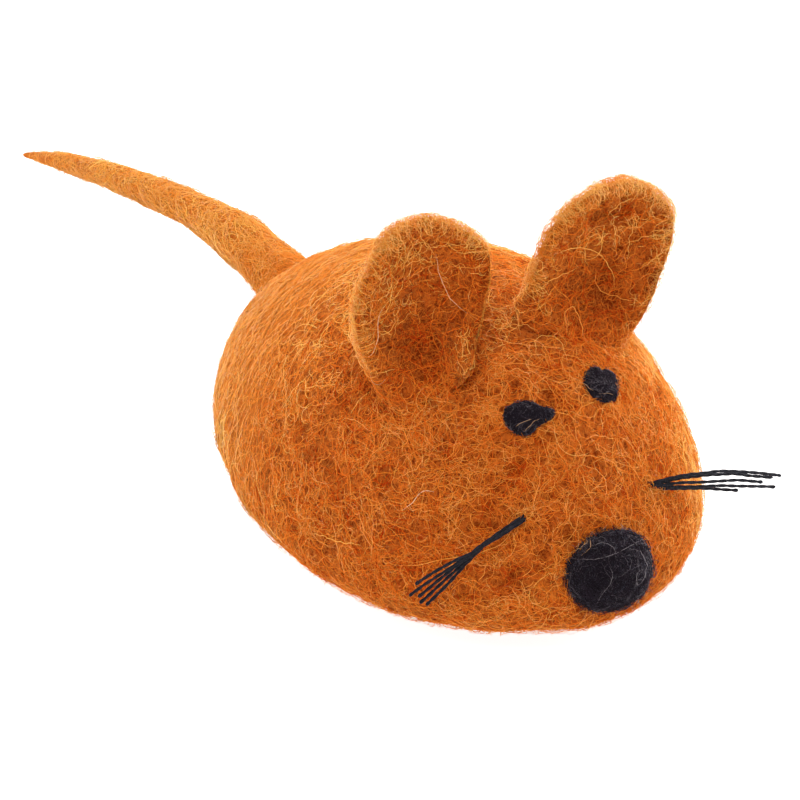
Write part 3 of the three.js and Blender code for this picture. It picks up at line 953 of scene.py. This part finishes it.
def home_pieces(paths):
    """The name of the piece that each fibre belongs to."""
    middle = paths[:, paths.shape[1] // 2]
    turn = np.arctan2(middle[:, 1], middle[:, 2] - BODY_WIDEST_Z) / (2 * math.pi) + 0.5
    lane = np.minimum((turn * COAT_LANES).astype(int), COAT_LANES - 1)
    names = numbered("coat_fibres", lane * COAT_RINGS + np.digitize(middle[:, 0], COAT_CUTS_X))
    x, y, z = np.moveaxis(paths, -1, 0)
    on_tail = ((x < -28.2) & (np.abs(y) < 4.5) & (z > 4) | (x < -30.6)).any(axis=1)
    stretch = np.digitize(-paths.mean(axis=1)[:, 0], [-cut for cut in TAIL_CUTS_X])
    names = np.where(on_tail, numbered("tail_fibres", stretch), names)
    for side in ("right", "left"):
        forward, _, height = to_ear(EARS[side], paths[:, 0]).T
        part = np.where(forward < 0.6, 0, np.where(height < 8, 1, 2))
        on_ear = ear_zone(side, paths).any(axis=1)
        names = np.where(on_ear, numbered(f"ear_{side}_fibres", part), names)
    return names


def make_coat_fibres():
    homes = [home_pieces(paths) for paths, *_ in sets]

    def gather(name):
        return bundle(name, sets, ORANGE_TONES, [names == name for names in homes])

    for side, ear in EARS.items():
        for part in range(EAR_PARTS):
            made = gather(f"ear_{side}_fibres_{part + 1}")
            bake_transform(made)
    for i in range(len(TAIL_JOINTS)):
        blend_tail(gather(f"tail_fibres_{i + 1}"))
    for k in range(COAT_LANES * COAT_RINGS):
        made = gather(f"coat_fibres_{k + 1}")
        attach(made, "body")


make_coat_fibres()


# ---- face
NOSE_CENTRE = np.array([NOSE["x"], NOSE["y"], NOSE["z"]])


def on_nose(across, up):
    """The place on the nose so far across and up it, in radii, as seen from its front right."""
    front = unit(np.array([0.757, -0.437, 0.483]))
    left = unit(np.cross([0, 0, 1.0], front))
    deep = math.sqrt(max(1 - across ** 2 - up ** 2, 0))
    way = across * left + up * np.cross(front, left) + deep * front
    return NOSE_CENTRE + NOSE["half_width"] * way


# The pale strays on the nose: the places each one passes, tone, width.
NOSE_STRAYS = [
    ([(-0.72, 0.22), (-0.35, 0.20), (0, 0.28), (0.35, 0.42), (0.7, 0.58), (0.85, 0.66)], ASH, 0.055),
    ([(0.5, 0.45), (0.72, 0.4), (0.88, 0.1), (0.8, -0.3), (0.66, -0.42), (0.64, -0.1), (0.8, 0)], ASH, 0.05),
    ([(-0.31, -0.86), (-0.14, -0.55), (0.06, -0.32), (0.12, -0.1), (0.03, 0.08)], ASH, 0.05),
    ([(-0.96, 0.2), (-0.84, 0.48), (-0.62, 0.5), (-0.6, 0.7), (-0.4, 0.8), (-0.34, 0.5), (-0.56, 0.3)],
     STRAY, 0.05),
    ([(-0.72, 0.66), (-0.5, 0.84), (-0.42, 0.6), (-0.7, 0.4), (-0.86, 0.3)], STRAY, 0.045),
    ([(-0.4, 0.5), (-0.1, 0.62), (0.15, 0.5), (0.2, 0.32)], ASH, 0.04),
]


def make_nose():
    directions, faces = sphere(5)
    points = NOSE_CENTRE + directions * (NOSE["half_height"], NOSE["half_width"], NOSE["half_height"])
    points = felted(points, faces, lumps=0.7)
    made = piece("nose_felt", points, faces, [black_felt])
    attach(made, "body")
    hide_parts("nose")
    fuzz = Fleece(points, faces, SEED + 1)
    showing = np.where(fuzz.centres[:, 0] > NOSE["x"] - 1.5, 1.0, 0.02)
    threads = [
        lying(fuzz, 1800, showing, 10, 0.25, 2.0, 0.05, {BLACK: 9, SOOT: 2}, lift=0.15, arch=0.12),
        standing(fuzz, 1700, showing, 5, 1.1, 0.035, {BLACK: 8, SOOT: 2}),
        *(traced(fuzz, [on_nose(*stop) for stop in stops], tone, width)
          for stops, tone, width in NOSE_STRAYS),
    ]
    fibres = bundle("nose_fibres", threads, BLACK_TONES)
    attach(fibres, "body")


def make_eye(side, x, y):
    directions, faces = sphere(4)
    normal = normal_of_body(x, y)
    centre = np.array([x, y, top_of_body(x, y)])
    tangent = unit(np.cross(np.array([0, 0, 1.0]), normal))
    upward = np.cross(normal, tangent)
    a, b, c = directions.T
    angle = np.arctan2(b, a)
    rim = EYE_RADIUS * (1 + 0.05 * np.sin(2 * angle + 1) + 0.04 * np.sin(3 * angle))
    if side == "right":
        tip = angle - 0.22
        rim = rim + 1.15 * np.exp(-(tip / np.where(tip > 0, 0.18, 0.45)) ** 2)
    else:
        bulge = 1.1 + 0.24 * np.exp(-((angle + 0.1) / 0.35) ** 2)
        rim = rim * (bulge - 0.38 * np.exp(-((angle - 0.72) / 0.22) ** 2))
    dome = np.where(c > 0, EYE_RISE, EYE_ROOT) * signed_power(c, 0.8) - 0.05
    local = np.column_stack([a * rim, b * rim, dome])
    sag = (local[:, 0] ** 2 + local[:, 1] ** 2) / (2 * HEAD_RADIUS)
    points = centre + local[:, :1] * tangent + local[:, 1:2] * upward + (local[:, 2:] - sag[:, None]) * normal
    points = felted(points, faces, lumps=0.25)
    made = piece(f"eye_{side}_felt", points, faces, [black_felt])
    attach(made, "body")
    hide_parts(f"eye_{side}")
    fuzz = Fleece(points, faces, SEED + (2 if side == "left" else 3))
    outside = np.where((fuzz.centres - centre) @ normal > 0.1, 1.0, 0.01)
    threads = [
        lying(fuzz, 420, outside, 8, 0.2, 2.2, 0.055, {BLACK: 9, SOOT: 1}, lift=0.06, arch=0.05),
        standing(fuzz, 200, outside, 5, 0.6, 0.035, {BLACK: 8, SOOT: 1}),
        lying(fuzz, 2, outside, 11, 0.2, 0.25, 0.035, {STRAY: 1}, lift=0.12, arch=0.1),
    ]
    fibres = bundle(f"eye_{side}_fibres", threads, BLACK_TONES)
    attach(fibres, "body")


make_nose()
for eye_side, (eye_x, eye_y) in EYES.items():
    make_eye(eye_side, eye_x, eye_y)


# ---- whiskers
def thread_look(name):
    """Soft black sewing thread: short lighter hairs in each ply."""
    shader = Shader(name)
    at = shader.place()
    hairs = shader.remap(shader.noise(at, 5.0, detail=3, distortion=0.8), 0.42, 0.66)
    wear = shader.remap(shader.noise(at, 0.7, detail=2), 0.35, 0.7)
    ground = shader.mix(wear, (0.005, 0.005, 0.007), (0.009, 0.009, 0.013))
    ground = shader.mix(shader.maths("MULTIPLY", hairs, 0.7), ground, (0.024, 0.023, 0.032))
    bump = shader.node("ShaderNodeBump", {"Height": hairs, "Strength": 0.5, "Distance": 0.03 * MM})
    return shader.finish({"Base Color": ground, "Normal": bump.outputs["Normal"], "Roughness": 0.7,
                          "Specular IOR Level": 0.12})


thread_black = thread_look("thread_black")


def ring_place(i):
    turn = i / THREADS * 2 * math.pi
    return np.array([math.sin(turn), 0, math.cos(turn)]) * THREAD_RING


def thread_path(tuft, i, steps):
    """Out of the muzzle, along with the other threads, and then apart from them to its own end."""
    root, side = np.array(tuft["root"]), tuft["side"]
    ends = np.array(tuft["reach"]) * (1, side, -1)
    middle = ends.mean(axis=0)
    normal = normal_of_body(*root[:2])
    t = np.linspace(0, 1, steps)[:, None]
    stem = middle * t + np.array([0, 0, WHISKER_BOW]) * t * (1 - t)
    apart = 1 - np.exp(-np.maximum(t - tuft["parts_at"][i], 0) / tuft["fan"])
    apart = apart / apart[-1] * (1 + tuft["bulge"] * np.sin(math.pi * t))
    line = root + 0.4 * normal + stem + 0.5 * ring_place(i) * (1 - t) + (ends[i] - middle) * apart
    wobble = np.column_stack([field(line + 11 * i + shift, 2.2) for shift in (0, 40, 80)])
    line = line + 0.12 * wobble * np.sin(math.pi * t)
    plunge = line[0] - normal * ROOT_DEPTH * np.linspace(1, 0.1, 8)[:, None]
    return evened(np.vstack([plunge, line]), 3)


def twisted(path, pitch=2.2, offset=0.045):
    """Two plies laid round each other along a path."""
    along = unit(np.gradient(path, axis=0))
    helper = unit(np.cross(along, np.array([0, 0, 1.0])))
    other = np.cross(along, helper)
    length = np.concatenate([[0], np.cumsum(np.linalg.norm(np.diff(path, axis=0), axis=1))])
    plies = []
    for ply in range(2):
        angle = 2 * math.pi * length / pitch + ply * math.pi
        plies.append(path + offset * (np.cos(angle)[:, None] * helper + np.sin(angle)[:, None] * other))
    return np.stack(plies)


def make_whisker(side, tuft, i):
    """One thread, with a frayed, slightly thicker end."""
    plies = twisted(thread_path(tuft, i, 150))
    radii = np.full(plies.shape[:2], THREAD_PLY)
    radii[:, -6:] *= np.array([1.0, 1.1, 1.2, 1.15, 0.9, 0.5])
    points, faces, *_ = tubes(plies, radii, sides=6)
    made = piece(f"whisker_{side}_{i + 1}_thread", points, faces, [thread_black])
    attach(made, f"whiskers_{side}")
    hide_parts(f"whisker_{side}_{i + 1}")


def make_stitch():
    """The threads' run through the muzzle, between the two roots."""
    left, right = (np.array(WHISKERS[side]["root"]) for side in ("left", "right"))
    t = np.linspace(0, 1, 60)[:, None]
    inward = np.array([-1.0, 0, -0.6])
    middle = left + (right - left) * t + inward * (1.6 + 3.2 * t * (1 - t))
    plies = np.vstack([twisted(middle + 0.6 * ring_place(i)) for i in range(THREADS)])
    points, faces, *_ = tubes(plies, np.full(plies.shape[:2], THREAD_PLY), sides=6)
    made = piece("whisker_stitch_threads", points, faces, [thread_black])
    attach(made, "body")
    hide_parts("whisker_stitch")


make_stitch()
for whisker_side, whisker_tuft in WHISKERS.items():
    for index in range(THREADS):
        make_whisker(whisker_side, whisker_tuft, index)

# ---- the CAD pieces that stay
core_wool = felt("core_wool", (0.45, 0.38, 0.27), (0.6, 0.52, 0.4), UNDYED, (0.85, 0.78, 0.66),
                 (0.9, 0.86, 0.78))
core_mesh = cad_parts["body_core"].data
core_mesh.materials.clear()
core_mesh.materials.append(core_wool)


# ---- camera, floor and lights
def add_camera():
    a, e = math.radians(CAMERA["azimuth"]), math.radians(CAMERA["elevation"])
    back = Vector((math.sin(a) * math.cos(e), -math.cos(a) * math.cos(e), math.sin(e)))
    right = Vector((math.cos(a), math.sin(a), 0))
    turn = Matrix((right, back.cross(right), back)).transposed()
    turn = turn @ Matrix.Rotation(math.radians(CAMERA["roll"]), 3, "Z")
    lens = bpy.data.cameras.new("camera")
    lens.lens, lens.sensor_width = CAMERA["lens"], CAMERA["sensor"]
    lens.clip_start, lens.clip_end = 0.01, 20
    camera = bpy.data.objects.new("camera", lens)
    place = (Vector(CAMERA["target"]) + back * CAMERA["distance"]) * MM
    camera.matrix_world = Matrix.Translation(place) @ turn.to_4x4()
    bpy.context.scene.collection.objects.link(camera)
    bpy.context.scene.camera = camera


def add_floor():
    shader = Shader("floor_paper")
    grain = shader.remap(shader.noise(shader.place(), 0.05, detail=2), 0.3, 0.7, 0.48, 0.52)
    grey = shader.node("ShaderNodeCombineColor", {"Red": grain, "Green": grain, "Blue": grain})
    paper = shader.finish({"Base Color": grey.outputs["Color"], "Roughness": 0.9,
                           "Emission Color": (1, 1, 1, 1), "Emission Strength": 0.92})
    half, level = 1500, -0.05
    corners = [(-half, -half, level), (half, -half, level), (half, half, level), (-half, half, level)]
    piece("floor", np.array(corners), np.array([[0, 1, 2], [0, 2, 3]]), [paper])


def add_light(name, place, size, power):
    """A square softbox that faces the mouse."""
    light = bpy.data.lights.new(name, "AREA")
    light.size = size * MM
    light.energy = power
    lamp = bpy.data.objects.new(name, light)
    lamp.location = Vector(place) * MM
    lamp.rotation_euler = (-Vector(place)).to_track_quat("-Z", "Y").to_euler()
    bpy.context.scene.collection.objects.link(lamp)


def add_world():
    world = bpy.data.worlds.new("studio")
    world.use_nodes = True
    world.node_tree.nodes["Background"].inputs["Color"].default_value = (1, 1, 1, 1)
    world.node_tree.nodes["Background"].inputs["Strength"].default_value = 0.42
    bpy.context.scene.world = world


add_camera()
add_floor()
add_world()
add_light("front_softbox", (420, -300, 720), 400, 5.4)
add_light("left_rim_softbox", (-560, -360, 260), 380, 2.8)
add_light("right_rim_softbox", (-20, 640, 280), 380, 4.4)
add_light("top_rim_softbox", (-430, 280, 560), 420, 2.8)
bpy.context.scene.view_settings.view_transform = "Standard"
